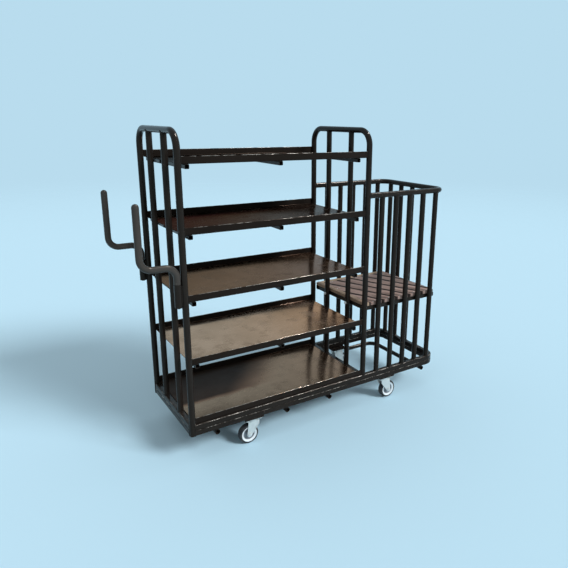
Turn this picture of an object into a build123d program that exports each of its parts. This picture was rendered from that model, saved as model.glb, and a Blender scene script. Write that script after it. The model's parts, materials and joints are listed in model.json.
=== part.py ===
from build123d import *
import os

os.makedirs("parts", exist_ok=True)

# Shoe trolley, in millimetres. X runs from the push handles to the cage, Y from the front to the
# back and Z up. The origin is on the floor, under the middle of the trolley.

# Round tube: the upright bars are a size smaller than the hoops and rails that they are cut to fit
tube = 30
tube_wall = 2
bar = 28.9
bar_wall = 2

# Hoops, tube axis to tube axis unless said otherwise
hoop_spacing = 1000
hoop_depth = 520
hoop_height = 1550          # floor to the top of the tube
hoop_bend = 75
bar_spacing = 206           # between the two inner bars of a hoop

# Cage
cage_length = 546           # middle hoop to the closed end
cage_height = 1222          # floor to the top of the top rail
cage_bend = 60              # the last bars stand where the bend starts
side_bar_count = 5
end_bar_count = 5

# Base rails, two square tubes one above the other
rail = 28
rail_wall = 2
rail_corner = 5
cross_tube = 25             # round tubes under the rails
cross_tube_wall = 2
cross_tube_places = (118, 504, 768)     # from the left hoop
floor_tube_place = 100      # bent tube under the cage, from the closed end
floor_tube_inset = 54       # its back run, from the back rail's axis

# Folded sheet trays
sheet = 2
fold_radius = 5
lip_height = 33
lip_overhang = 6            # outer face of a lip, beyond the tube axes
shelf_count = 4
top_shelf_drop = 150        # hoop top to the top shelf
bearer = 20
bearer_wall = 2
bearer_first = 38           # from the left hoop
bearer_last = 70            # from the middle hoop
bearer_count = 3

# Wooden shelf in the cage
cage_shelf_height = 613     # floor to the top of the boards
board_thickness = 18
shelf_rail = 25
board_count = 7
board_gap = 8
board_angle = 23            # boards lie turned from the Y axis
batten_width = 30
shelf_bolt = 8
shelf_bolt_flats = 13
shelf_bolt_head = 5.5
shelf_nut_height = 6.5
bolt_clearance = 0.4        # on the diameter

# Push handles, each on a pin in a sleeve on a corner leg
handle_reach = 184          # leg axis to grip axis
handle_arm_height = 968     # floor to the axis of the level arm
grip_rise = 282             # arm axis to the top of the grip
handle_bend = 50
foot_spare = 7.5            # straight tube between the pin's plug and the lower bend
handle_gap = 1              # between the turning tube and the leg
sleeve_length = 106
pin = 18
pin_end = 3.5               # pin showing below the sleeve
pin_plug = 20               # length of the plug inside the handle tube
turning_gap = 0.5           # between flat faces that turn on each other
running_clearance = 0.1     # on the radius of pins and axles

# Casters
wheel = 102
tyre_width = 32
tyre_thickness = 10
tyre_round = 6
axle = 10
axle_flats = 17
axle_head = 6.4
axle_nut_height = 8
axle_end = 2
hub_boss = 24
hub_web = 8
hub_rim = 6
fork_sheet = 4
fork_side_gap = 2.5         # tyre to fork leg
fork_top_gap = 16.5         # tyre to fork crown
fork_length = 60
fork_shoulder = 22
fork_eye = 13
fork_bend = 6
caster_trail = 25
race = 56
race_height = 8
race_round = 2
king_pin = 12
king_head = 22
king_head_height = 8
top_plate = 5
top_plate_length = 92
top_plate_width = 62
plate_corner = 6
plate_bolt = 8
plate_bolt_flats = 13
plate_bolt_head = 5.3
plate_bolt_pitch_x = 72
plate_bolt_pitch_y = 42
mount_plate = 8
mount_plate_length = 104
mount_plate_width = 70
left_caster_place = 318     # swivel axis, from the left hoop
right_caster_place = 371    # swivel axis, from the closed end

# Places along X and Y
overall_length = handle_reach + hoop_spacing + cage_length + tube
left_x = handle_reach + tube / 2 - overall_length / 2
middle_x = left_x + hoop_spacing
end_x = middle_x + cage_length
side_y = hoop_depth / 2
rail_inner_y = side_y - rail / 2
lip_y = side_y + lip_overhang
tray_start = left_x + tube / 2
tray_length = hoop_spacing - tube
bearer_pitch = (hoop_spacing - bearer_first - bearer_last) / (bearer_count - 1)
bearer_places = [left_x + bearer_first + bearer_pitch * i for i in range(bearer_count)]

# Heights, from the wheels up
axle_z = wheel / 2
crown_z = wheel + fork_top_gap
fork_top = crown_z + fork_sheet
race_z = fork_top + turning_gap
top_plate_z = race_z + race_height
mount_plate_z = top_plate_z + top_plate
base_z = mount_plate_z + mount_plate
deck_z = base_z + 2 * rail
shelf_pitch = (hoop_height - top_shelf_drop - deck_z) / shelf_count
hoop_axis_z = hoop_height - tube / 2
cage_rail_z = cage_height - tube / 2
board_z = cage_shelf_height - board_thickness
shelf_rail_z = board_z - shelf_rail


def save(piece, name):
    piece.part.label = name
    export_step(piece.part, f"parts/{name}.step")


def ring(size, wall):
    Circle(size / 2)
    Circle(size / 2 - wall, mode=Mode.SUBTRACT)


def square_ring(size, wall, corner):
    RectangleRounded(size, size, corner)
    RectangleRounded(size - 2 * wall, size - 2 * wall, corner - wall, mode=Mode.SUBTRACT)


# Hoops: one bent tube each. The left one runs down past the base rails, the middle one stands on them.
def hoop(x, foot_z):
    with BuildPart() as piece:
        with BuildLine(Plane.YZ.offset(x)) as path:
            FilletPolyline(
                (-side_y, foot_z),
                (-side_y, hoop_axis_z),
                (side_y, hoop_axis_z),
                (side_y, foot_z),
                radius=hoop_bend,
            )
        with BuildSketch(Plane(origin=path.line @ 0, z_dir=path.line % 0)):
            ring(tube, tube_wall)
        sweep()
    return piece


# Inner bars: two straight tubes from deck level to the hoop's top tube, saddle cut to fit it.
def hoop_bars(x):
    with BuildPart() as piece:
        with BuildSketch(Plane.XY.offset(deck_z)):
            with Locations((x, -bar_spacing / 2), (x, bar_spacing / 2)):
                ring(bar, bar_wall)
        extrude(amount=hoop_axis_z - deck_z)
        with BuildSketch(Plane.XZ.offset(-bar_spacing)):
            with Locations((x, hoop_axis_z)):
                Circle(tube / 2)
        extrude(amount=2 * bar_spacing, mode=Mode.SUBTRACT)
    return piece


left_hoop = hoop(left_x, base_z)
save(left_hoop, "left_hoop")

left_hoop_bars = hoop_bars(left_x)
save(left_hoop_bars, "left_hoop_bars")

middle_hoop = hoop(middle_x, deck_z)
save(middle_hoop, "middle_hoop")

# The middle hoop's bars are also drilled for the bolts of the wooden shelf.
shelf_bolt_z = shelf_rail_z + shelf_rail / 2
shelf_bolt_plane = Plane.YZ.offset(middle_x - bar)
shelf_bolt_points = [(-bar_spacing / 2, shelf_bolt_z), (bar_spacing / 2, shelf_bolt_z)]

undrilled_bars = hoop_bars(middle_x)
with BuildPart() as middle_hoop_bars:
    add(undrilled_bars.part)
    with BuildSketch(shelf_bolt_plane):
        with Locations(*shelf_bolt_points):
            Circle((shelf_bolt + bolt_clearance) / 2)
    extrude(amount=2 * bar, mode=Mode.SUBTRACT)
save(middle_hoop_bars, "middle_hoop_bars")


# Base side rails: a square tube from the left hoop's front leg, round the cage end, to its back leg.
# Its ends are cut round to hug the legs, and square at the sides.
rail_start = left_x + tube / 4


def side_rail(z):
    with BuildPart() as piece:
        with BuildLine(Plane.XY.offset(z + rail / 2)) as path:
            FilletPolyline(
                (rail_start, -side_y),
                (end_x, -side_y),
                (end_x, side_y),
                (rail_start, side_y),
                radius=cage_bend,
            )
        with BuildSketch(Plane(origin=path.line @ 0, x_dir=(0, 1, 0), z_dir=path.line % 0)):
            square_ring(rail, rail_wall, rail_corner)
        sweep()
        with BuildSketch(Plane.XY.offset(z)):
            with Locations((left_x, -side_y), (left_x, side_y)):
                Circle(tube / 2)
        extrude(amount=rail, mode=Mode.SUBTRACT)
    return piece


base_lower_rail = side_rail(base_z)
save(base_lower_rail, "base_lower_rail")

base_upper_rail = side_rail(base_z + rail)
save(base_upper_rail, "base_upper_rail")

# Rails across the left end, between the hoop's legs: the inner bars stand on the upper one. Their ends
# hug the legs too, and stop short of the side rails.
left_rail_end = side_y - tube / 4

for level, rail_z in (("lower", base_z), ("upper", base_z + rail)):
    with BuildPart() as left_rail:
        with BuildSketch(Plane.XZ.offset(-left_rail_end)):
            with Locations((left_x, rail_z + rail / 2)):
                square_ring(rail, rail_wall, rail_corner)
        extrude(amount=2 * left_rail_end)
        with BuildSketch(Plane.XY.offset(rail_z)):
            with Locations((left_x, -side_y), (left_x, side_y)):
                Circle(tube / 2)
            with Locations((rail_start, -side_y), (rail_start, side_y)):
                Rectangle(rail, rail, align=(Align.MIN, Align.CENTER))
        extrude(amount=rail, mode=Mode.SUBTRACT)
    save(left_rail, f"left_{level}_rail")

# Rails under the deck, between the upper side rails. The last one carries the middle hoop's bars.
with BuildPart() as deck_cross_rails:
    with BuildSketch(Plane.XZ.offset(-rail_inner_y)):
        with Locations(*[(x, deck_z - rail / 2) for x in bearer_places[:-1] + [middle_x]]):
            square_ring(rail, rail_wall, rail_corner)
    extrude(amount=2 * rail_inner_y)
save(deck_cross_rails, "deck_cross_rails")

# Round tubes across the underside of the lower rails.
rail_outer_y = side_y + rail / 2
cross_tube_z = base_z - cross_tube / 2

with BuildPart() as base_cross_tubes:
    with BuildSketch(Plane.XZ.offset(-rail_outer_y)):
        with Locations(*[(left_x + place, cross_tube_z) for place in cross_tube_places]):
            ring(cross_tube, cross_tube_wall)
    extrude(amount=2 * rail_outer_y)
save(base_cross_tubes, "base_cross_tubes")

# Bent tube under the cage, from the front rail round to the mounting plate of the back caster.
right_caster_x = end_x - right_caster_place
floor_tube_x = end_x - floor_tube_place

with BuildPart() as cage_floor_tube:
    with BuildLine(Plane.XY.offset(cross_tube_z)) as floor_path:
        FilletPolyline(
            (floor_tube_x, -rail_outer_y),
            (floor_tube_x, side_y - floor_tube_inset),
            (right_caster_x + mount_plate_length / 2, side_y - floor_tube_inset),
            radius=cage_bend,
        )
    with BuildSketch(Plane(origin=floor_path.line @ 0, z_dir=floor_path.line % 0)):
        ring(cross_tube, cross_tube_wall)
    sweep()
save(cage_floor_tube, "cage_floor_tube")


# Trays: one sheet with its front and back edges folded up into lips, open at both ends.
def tray(z):
    with BuildPart() as piece:
        with BuildSketch(Plane.YZ.offset(tray_start)) as section:
            with Locations((0, z)):
                Rectangle(2 * lip_y, lip_height, align=(Align.CENTER, Align.MIN))
            with Locations((0, z + sheet)):
                Rectangle(
                    2 * lip_y - 2 * sheet,
                    lip_height,
                    align=(Align.CENTER, Align.MIN),
                    mode=Mode.SUBTRACT,
                )
            fillet(section.vertices().group_by(Axis.Y)[1], fold_radius - sheet)
            fillet(section.vertices().group_by(Axis.Y)[0], fold_radius)
        extrude(amount=tray_length)
    return piece


deck_tray = tray(deck_z)
save(deck_tray, "deck_tray")

# Shelves above the deck, counted from the bottom, each with its square tube bearers.
for number in range(1, shelf_count + 1):
    shelf_z = deck_z + shelf_pitch * number
    shelf = tray(shelf_z)
    save(shelf, f"shelf_{number}")

    with BuildPart() as bearers:
        with BuildSketch(Plane.XZ.offset(-lip_y)):
            with Locations(*[(x, shelf_z - bearer / 2) for x in bearer_places]):
                square_ring(bearer, bearer_wall, bearer_wall * 2)
        extrude(amount=2 * lip_y)
    save(bearers, f"shelf_{number}_bearers")


# Cage top rail: a tube from the middle hoop's front leg, round the end, to its back leg.
def cage_rail(radius):
    with BuildPart() as piece:
        with BuildLine(Plane.XY.offset(cage_rail_z)) as path:
            FilletPolyline(
                (middle_x, -side_y),
                (end_x, -side_y),
                (end_x, side_y),
                (middle_x, side_y),
                radius=cage_bend,
            )
        with BuildSketch(Plane(origin=path.line @ 0, z_dir=path.line % 0)):
            Circle(radius)
        sweep()
    return piece.part


cage_rail_outside = cage_rail(tube / 2)
cage_rail_bore = cage_rail(tube / 2 - tube_wall)

with BuildPart() as cage_top_rail:
    add(cage_rail_outside)
    add(cage_rail_bore, mode=Mode.SUBTRACT)
    with BuildSketch(Plane.XY.offset(cage_rail_z - tube)):
        with Locations((middle_x, -side_y), (middle_x, side_y)):
            Circle(tube / 2)
    extrude(amount=2 * tube, mode=Mode.SUBTRACT)
save(cage_top_rail, "cage_top_rail")


# Cage bars: upright tubes from the upper base rail to the top rail, saddle cut to fit it.
def cage_bars(places):
    with BuildPart() as piece:
        with BuildSketch(Plane.XY.offset(deck_z)):
            with Locations(*places):
                ring(bar, bar_wall)
        extrude(amount=cage_rail_z - deck_z)
        add(cage_rail_outside, mode=Mode.SUBTRACT)
    return piece


side_bar_pitch = (cage_length - cage_bend) / side_bar_count
side_bar_x = [middle_x + side_bar_pitch * i for i in range(1, side_bar_count + 1)]
end_bar_start = cage_bend - side_y
end_bar_pitch = -2 * end_bar_start / (end_bar_count - 1)
end_bar_y = [end_bar_start + end_bar_pitch * i for i in range(end_bar_count)]

cage_side_bars = cage_bars([(x, y) for y in (-side_y, side_y) for x in side_bar_x])
save(cage_side_bars, "cage_side_bars")

cage_end_bars = cage_bars([(end_x, y) for y in end_bar_y])
save(cage_end_bars, "cage_end_bars")

# Wooden shelf: four square rails just inside the bars, with boards laid slantwise on top.
shelf_start = middle_x + bar / 2
shelf_end = end_x - bar / 2
shelf_y = side_y - bar / 2
shelf_rail_inner_y = shelf_y - shelf_rail

with BuildPart() as cage_shelf_side_rails:
    with BuildSketch(Plane.YZ.offset(shelf_start)):
        with Locations((shelf_rail / 2 - shelf_y, shelf_bolt_z), (shelf_y - shelf_rail / 2, shelf_bolt_z)):
            square_ring(shelf_rail, rail_wall, rail_corner)
    extrude(amount=shelf_end - shelf_start)
save(cage_shelf_side_rails, "cage_shelf_side_rails")

# The rails between them: the left one is drilled for the bolts.
with BuildPart() as cage_shelf_end_rails:
    with BuildSketch(Plane.XZ.offset(-shelf_rail_inner_y)):
        with Locations(
            (shelf_start + shelf_rail / 2, shelf_bolt_z),
            (shelf_end - shelf_rail / 2, shelf_bolt_z),
        ):
            square_ring(shelf_rail, rail_wall, rail_corner)
    extrude(amount=2 * shelf_rail_inner_y)
    with BuildSketch(shelf_bolt_plane):
        with Locations(*shelf_bolt_points):
            Circle((shelf_bolt + bolt_clearance) / 2)
    extrude(amount=bar * 3 / 2 + shelf_rail, mode=Mode.SUBTRACT)
save(cage_shelf_end_rails, "cage_shelf_end_rails")

# Bolts from each inner bar through the shelf's left rail, each with its nut.
with BuildPart() as shelf_bolts:
    head_plane = Plane.YZ.offset(middle_x - bar / 2 - shelf_bolt_head)
    nut_plane = Plane.YZ.offset(shelf_start + shelf_rail)
    with BuildSketch(head_plane):
        with Locations(*shelf_bolt_points):
            RegularPolygon(shelf_bolt_flats / 2, 6, major_radius=False)
    extrude(amount=shelf_bolt_head)
    with BuildSketch(head_plane):
        with Locations(*shelf_bolt_points):
            Circle(shelf_bolt / 2)
    extrude(amount=shelf_bolt_head + bar + shelf_rail + shelf_nut_height)
    with BuildSketch(nut_plane):
        with Locations(*shelf_bolt_points):
            RegularPolygon(shelf_bolt_flats / 2, 6, major_radius=False)
    extrude(amount=shelf_nut_height)
save(shelf_bolts, "shelf_bolts")

with BuildPart() as cage_left_batten:
    with BuildSketch(Plane.XY.offset(board_z)):
        with Locations((shelf_start, -shelf_y)):
            Rectangle(batten_width, 2 * shelf_y, align=(Align.MIN, Align.MIN))
    extrude(amount=board_thickness)
save(cage_left_batten, "cage_left_batten")

with BuildPart() as cage_back_batten:
    with BuildSketch(Plane.XY.offset(board_z)):
        with Locations((shelf_start + batten_width, shelf_y - batten_width)):
            Rectangle(shelf_end - shelf_start - batten_width, batten_width, align=(Align.MIN, Align.MIN))
    extrude(amount=board_thickness)
save(cage_back_batten, "cage_back_batten")

# The boards fill what the battens leave, corner to corner across their slant.
field_length = shelf_end - shelf_start - batten_width
field_depth = 2 * shelf_y - batten_width
field_centre = Vector(shelf_end - field_length / 2, field_depth / 2 - shelf_y)
across_boards = Vector(1, 0).rotate(Axis.Z, board_angle)
field_across = field_length * abs(across_boards.X) + field_depth * abs(across_boards.Y)
board_pitch = field_across / board_count

for number in range(1, board_count + 1):
    board_centre = field_centre + across_boards * (board_pitch * (number - (board_count + 1) / 2))
    with BuildPart() as board:
        with BuildSketch(Plane.XY.offset(board_z)):
            with Locations((field_centre.X, field_centre.Y)):
                Rectangle(field_length, field_depth)
            with Locations((board_centre.X, board_centre.Y)):
                Rectangle(
                    board_pitch - board_gap,
                    2 * field_across,
                    rotation=board_angle,
                    mode=Mode.INTERSECT,
                )
        extrude(amount=board_thickness)
    save(board, f"cage_board_{number}")

# Handle sleeves: thick tubes welded to the outer side of the left hoop's legs.
turning_x = left_x - tube - handle_gap
sleeve = 2 * (left_x - tube / 2 - turning_x)
grip_x = left_x - handle_reach
grip_end_z = handle_arm_height + grip_rise - tube / 2
foot_z = handle_arm_height - handle_bend - foot_spare - pin_plug
sleeve_top = foot_z - turning_gap


def handle_rod(y, start_z, radius):
    with BuildPart() as piece:
        with BuildLine(Plane.XZ.offset(-y)) as path:
            FilletPolyline(
                (turning_x, start_z),
                (turning_x, handle_arm_height),
                (grip_x, handle_arm_height),
                (grip_x, grip_end_z),
                radius=handle_bend,
            )
        with BuildSketch(Plane(origin=path.line @ 0, z_dir=path.line % 0)):
            Circle(radius)
        sweep()
    return piece.part


for side, y in (("front", -side_y), ("back", side_y)):
    with BuildPart() as handle_sleeve:
        with BuildSketch(Plane.XY.offset(sleeve_top)):
            with Locations((turning_x, y)):
                Circle(sleeve / 2)
                Circle(pin / 2 + running_clearance, mode=Mode.SUBTRACT)
        extrude(amount=-sleeve_length)
    save(handle_sleeve, f"{side}_handle_sleeve")

    # Handle: a bent tube with a domed top, plugged at the foot by the pin that turns in the sleeve.
    handle_outside = handle_rod(y, foot_z, tube / 2)
    handle_bore = handle_rod(y, foot_z + pin_plug, tube / 2 - tube_wall)
    with BuildPart() as handle:
        add(handle_outside)
        add(handle_bore, mode=Mode.SUBTRACT)
        with BuildSketch(Plane.XY.offset(foot_z)):
            with Locations((turning_x, y)):
                Circle(pin / 2)
        extrude(amount=-turning_gap - sleeve_length - pin_end)
        with Locations((grip_x, y, grip_end_z)):
            Sphere(tube / 2, arc_size1=0, align=(Align.CENTER, Align.CENTER, Align.MIN))
    save(handle, f"{side}_handle")

# Caster parts that are fixed to the base: plates, bearing races, king pins and bolts.
caster_y = rail_outer_y - mount_plate_width / 2
left_caster_x = left_x + left_caster_place
caster_points = [(x, y) for x in (left_caster_x, right_caster_x) for y in (-caster_y, caster_y)]
bolt_grid = GridLocations(plate_bolt_pitch_x, plate_bolt_pitch_y, 2, 2)
bolt_points = [(x + spot.position.X, y + spot.position.Y) for x, y in caster_points for spot in bolt_grid]

with BuildPart() as caster_mount_plates:
    with BuildSketch(Plane.XY.offset(mount_plate_z)):
        with Locations(*caster_points):
            RectangleRounded(mount_plate_length, mount_plate_width, plate_corner)
        with Locations(*bolt_points):
            Circle(plate_bolt / 2, mode=Mode.SUBTRACT)
    extrude(amount=mount_plate)
save(caster_mount_plates, "caster_mount_plates")

with BuildPart() as caster_top_plates:
    with BuildSketch(Plane.XY.offset(top_plate_z)):
        with Locations(*caster_points):
            RectangleRounded(top_plate_length, top_plate_width, plate_corner)
            Circle(king_pin / 2, mode=Mode.SUBTRACT)
        with Locations(*bolt_points):
            Circle((plate_bolt + bolt_clearance) / 2, mode=Mode.SUBTRACT)
    extrude(amount=top_plate)
save(caster_top_plates, "caster_top_plates")

with BuildPart() as caster_races:
    with BuildSketch(Plane.XY.offset(race_z)):
        with Locations(*caster_points):
            Circle(race / 2)
    extrude(amount=race_height)
    fillet(caster_races.edges().group_by(Axis.Z)[0], race_round)
    with BuildSketch(Plane.XY.offset(race_z)):
        with Locations(*caster_points):
            Circle(king_pin / 2)
    extrude(amount=race_height, mode=Mode.SUBTRACT)
save(caster_races, "caster_races")

with BuildPart() as caster_king_pins:
    with BuildSketch(Plane.XY.offset(crown_z - turning_gap - king_head_height)):
        with Locations(*caster_points):
            Circle(king_head / 2)
    extrude(amount=king_head_height)
    with BuildSketch(Plane.XY.offset(crown_z - turning_gap)):
        with Locations(*caster_points):
            Circle(king_pin / 2)
    extrude(amount=mount_plate_z - crown_z + turning_gap)
save(caster_king_pins, "caster_king_pins")

with BuildPart() as caster_bolts:
    with BuildSketch(Plane.XY.offset(top_plate_z - plate_bolt_head)):
        with Locations(*bolt_points):
            RegularPolygon(plate_bolt_flats / 2, 6, major_radius=False)
    extrude(amount=plate_bolt_head)
    with BuildSketch(Plane.XY.offset(top_plate_z)):
        with Locations(*bolt_points):
            Circle(plate_bolt / 2)
    extrude(amount=top_plate + mount_plate)
save(caster_bolts, "caster_bolts")

# Caster parts that swivel and roll: fork, axle bolt with its nut, wheel hub and tyre.
fork_slot = tyre_width + 2 * fork_side_gap
fork_width = fork_slot + 2 * fork_sheet
hub_width = fork_slot - 2 * turning_gap
hub = wheel - 2 * tyre_thickness

for end, king_x, trail in (("left", left_caster_x, -caster_trail), ("right", right_caster_x, caster_trail)):
    for side, king_y in (("front", -caster_y), ("back", caster_y)):
        axle_x = king_x + trail
        wheel_plane = Plane.XZ.offset(-king_y)

        # Fork: a sheet bent down on both sides of the wheel, tapering to an eye round the axle.
        with BuildPart() as fork:
            with BuildSketch(wheel_plane):
                with Locations((axle_x, axle_z)):
                    Circle(fork_eye)
                with Locations((king_x, fork_top)):
                    Rectangle(fork_length, fork_shoulder, align=(Align.CENTER, Align.MAX))
                make_hull()
            extrude(amount=fork_width / 2, both=True)
            with BuildSketch(Plane.XY.offset(crown_z)):
                with Locations((king_x, king_y)):
                    Rectangle(2 * fork_length + wheel, fork_slot)
            extrude(amount=-crown_z, mode=Mode.SUBTRACT)
            long_edges = fork.edges().filter_by(Axis.X)
            fillet(long_edges.group_by(Axis.Z)[-1], fork_bend)
            with BuildSketch(Plane.XY.offset(crown_z)):
                with Locations((king_x, king_y)):
                    Circle(king_pin / 2 + running_clearance)
            extrude(amount=fork_sheet, mode=Mode.SUBTRACT)
            with BuildSketch(wheel_plane):
                with Locations((axle_x, axle_z)):
                    Circle(axle / 2)
            extrude(amount=fork_width / 2, both=True, mode=Mode.SUBTRACT)
        save(fork, f"{side}_{end}_fork")

        # Axle: a bolt with its head at the front and its nut at the back.
        fork_face = fork_width / 2
        with BuildPart() as axle_bolt:
            with BuildSketch(Plane.XZ.offset(fork_face - king_y)):
                with Locations((axle_x, axle_z)):
                    RegularPolygon(axle_flats / 2, 6, major_radius=False)
            extrude(amount=axle_head)
            with BuildSketch(Plane.XZ.offset(fork_face - king_y)):
                with Locations((axle_x, axle_z)):
                    Circle(axle / 2)
            extrude(amount=-fork_width - axle_nut_height - axle_end)
            with BuildSketch(Plane.XZ.offset(-fork_face - king_y)):
                with Locations((axle_x, axle_z)):
                    RegularPolygon(axle_flats / 2, 6, major_radius=False)
            extrude(amount=-axle_nut_height)
        save(axle_bolt, f"{side}_{end}_axle")

        # Hub: a dished wheel centre with a long boss on the axle and a flat rim under the tyre.
        axle_line = Axis((axle_x, king_y, axle_z), (0, 1, 0))
        with BuildPart() as wheel_hub:
            with BuildSketch(Plane.YZ.offset(axle_x)):
                with Locations((king_y, axle_z)):
                    Rectangle(tyre_width, hub / 2, align=(Align.CENTER, Align.MIN))
                    Rectangle(
                        tyre_width,
                        hub / 2 - hub_rim,
                        align=(Align.CENTER, Align.MIN),
                        mode=Mode.SUBTRACT,
                    )
                    Rectangle(hub_web, hub / 2, align=(Align.CENTER, Align.MIN))
                    Rectangle(hub_width, hub_boss / 2, align=(Align.CENTER, Align.MIN))
                    Rectangle(
                        hub_width,
                        axle / 2 + running_clearance,
                        align=(Align.CENTER, Align.MIN),
                        mode=Mode.SUBTRACT,
                    )
            revolve(axis=axle_line)
        save(wheel_hub, f"{side}_{end}_hub")

        # Tyre: a tread ring with rounded shoulders, moulded onto the hub.
        with BuildPart() as tyre:
            with BuildSketch(Plane.YZ.offset(axle_x)) as tread:
                with Locations((king_y, axle_z + hub / 2)):
                    Rectangle(tyre_width, tyre_thickness, align=(Align.CENTER, Align.MIN))
                fillet(tread.vertices().group_by(Axis.Y)[-1], tyre_round)
            revolve(axis=axle_line)
        save(tyre, f"{side}_{end}_tyre")
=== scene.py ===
import json
import math
import bmesh
import bpy
from mathutils import Matrix, Vector


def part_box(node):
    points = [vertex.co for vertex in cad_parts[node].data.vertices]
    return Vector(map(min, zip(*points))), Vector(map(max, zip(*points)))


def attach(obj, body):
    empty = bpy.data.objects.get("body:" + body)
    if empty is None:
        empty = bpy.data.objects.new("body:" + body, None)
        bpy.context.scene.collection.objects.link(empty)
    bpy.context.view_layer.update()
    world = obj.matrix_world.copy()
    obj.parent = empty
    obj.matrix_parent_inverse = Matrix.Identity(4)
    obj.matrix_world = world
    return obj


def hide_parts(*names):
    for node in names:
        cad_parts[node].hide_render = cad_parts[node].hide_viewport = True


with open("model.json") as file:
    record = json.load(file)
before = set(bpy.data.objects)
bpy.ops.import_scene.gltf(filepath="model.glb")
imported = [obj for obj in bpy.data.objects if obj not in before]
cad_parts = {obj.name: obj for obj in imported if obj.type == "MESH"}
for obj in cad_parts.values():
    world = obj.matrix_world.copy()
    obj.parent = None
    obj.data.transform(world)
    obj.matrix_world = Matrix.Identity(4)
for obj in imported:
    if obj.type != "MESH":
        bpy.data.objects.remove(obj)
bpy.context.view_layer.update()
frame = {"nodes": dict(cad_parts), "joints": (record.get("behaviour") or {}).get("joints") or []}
nodes = frame["nodes"]

# Base rails
# Square steel tubes, one above the other, run round three sides of the base and across its left end.
# Round tubes cross the underside. All are welded together and sprayed with brown-black gloss enamel.


def pick(sockets, name):
    """A node's socket by place or name. Sockets that the node's settings hide are passed over."""
    if isinstance(name, int):
        return sockets[name]
    return next(s for s in sockets if s.enabled and name in (None, s.name))


class Value:
    """One socket of a node tree. Arithmetic on it adds Math nodes, and node() adds any other node."""

    def __init__(self, tree, socket=None):
        self.tree = tree
        self.socket = socket

    def node(self, kind, settings, sockets, output=None):
        made = self.tree.nodes.new(kind)
        for name, setting in settings.items():
            setattr(made, name, setting)
        for name, value in sockets.items():
            self.feed(pick(made.inputs, name), value)
        return Value(self.tree, pick(made.outputs, output))

    def feed(self, target, value):
        if isinstance(value, Value):
            self.tree.links.new(value.socket, target)
        else:
            target.default_value = value

    def math(self, operation, *values):
        return self.node("ShaderNodeMath", {"operation": operation}, dict(enumerate(values)))

    def __add__(self, other):
        return self.math("ADD", self, other)

    def __sub__(self, other):
        return self.math("SUBTRACT", self, other)

    def __rsub__(self, other):
        return self.math("SUBTRACT", other, self)

    def __mul__(self, other):
        return self.math("MULTIPLY", self, other)

    def __truediv__(self, other):
        return self.math("DIVIDE", self, other)

    __radd__ = __add__
    __rmul__ = __mul__


def finish(name, constants):
    """A new material: its Principled shader with constants on its own sockets, and Object coordinates."""
    material = bpy.data.materials.new(name)
    material.use_nodes = True
    shader = material.node_tree.nodes["Principled BSDF"]
    for socket, value in constants.items():
        shader.inputs[socket].default_value = value
    place = Value(material.node_tree).node("ShaderNodeTexCoord", {}, {}, "Object")
    return material, shader, place


def noise(place, scale, detail=3.0):
    return place.node("ShaderNodeTexNoise", {}, {"Vector": place, "Scale": scale, "Detail": detail})


def drawn_out(place, lengths, turn=0.0):
    """Coordinates for a pattern that is drawn out along its axes, after a turn about Z."""
    sockets = {"Vector": place, "Rotation": (0.0, 0.0, turn), "Scale": lengths}
    return place.node("ShaderNodeMapping", {"vector_type": "TEXTURE"}, sockets)


def ramp(value, low, high):
    """0 below low, 1 above high, and a smooth step between."""
    sockets = {"Value": value, "From Min": low, "From Max": high}
    return value.node("ShaderNodeMapRange", {"interpolation_type": "SMOOTHSTEP"}, sockets)


def mix(factor, first, second):
    return factor.node("ShaderNodeMix", {"data_type": "RGBA"}, {"Factor": factor, "A": first, "B": second})


def bump(height, distance, strength):
    return height.node("ShaderNodeBump", {}, {"Height": height, "Distance": distance, "Strength": strength})


def upward(place):
    """The height component of the surface normal: 1 on upper faces, 0 on upright ones."""
    normal = place.node("ShaderNodeNewGeometry", {}, {}, "Normal")
    return place.node("ShaderNodeSeparateXYZ", {}, {"Vector": normal}, "Z")


DUST = (0.13, 0.105, 0.085, 1.0)
# Bare steel, also the colour of the painted highlight lines on the rails' shoulders and the lips' edges
BARE_STEEL_AND_HIGHLIGHT = (0.55, 0.51, 0.46, 1.0)


def enamel(name, deep, light, rubbed_and_sheen, gloss, shoulder_wear_and_highlight=0.0):
    """Sprayed enamel: cloudy colour, a fine orange peel, dust on upper faces and small rubbed spots.

    Along a shoulder between a side and a top, broken lines of bright steel run: partly wear and partly a
    painted highlight.
    """
    constants = {"Specular IOR Level": 0.14, "Specular Tint": (1.0, 0.86, 0.74, 1.0)}
    material, shader, place = finish(name, constants)
    up = upward(place)
    cloud = noise(place, 7.0, 5.0)
    peel = noise(place, 420.0, 2.0)
    dust = ramp(up, 0.45, 0.95) * ramp(noise(place, 23.0, 6.0), 0.40, 0.75)
    spots = ramp(noise(place, 95.0, 8.0), 0.66, 0.72) * ramp(noise(place, 9.0), 0.48, 0.62)
    level = 1.0 - up * up
    shoulder = up * level.math("SQRT", level)
    ragged = 0.16 * noise(place, 160.0, 4.0) + 0.16 * noise(place, 21.0)
    # Painted highlight: broken lines of bright steel on faces that slope between side and top, also
    # standing for wear
    bare_and_highlight = shoulder_wear_and_highlight * ramp(shoulder + ragged, 0.64, 0.70)
    colour = mix(cloud, deep, light)
    colour = mix(dust * 0.22, colour, DUST)
    colour = mix(spots, colour, rubbed_and_sheen)
    colour = mix(bare_and_highlight, colour, BARE_STEEL_AND_HIGHLIGHT)
    place.feed(shader.inputs["Base Color"], colour)
    place.feed(shader.inputs["Metallic"], 0.4 * bare_and_highlight)
    place.feed(shader.inputs["Roughness"], gloss + 0.1 * cloud + 0.2 * dust + 0.15 * spots + 0.2 * bare_and_highlight)
    place.feed(shader.inputs["Normal"], bump(peel + 0.6 * cloud - 0.8 * spots - 0.6 * bare_and_highlight, 0.0003, 0.2))
    return material


def dress(material, *names):
    for name in names:
        nodes[name].material_slots[0].material = material


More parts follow.
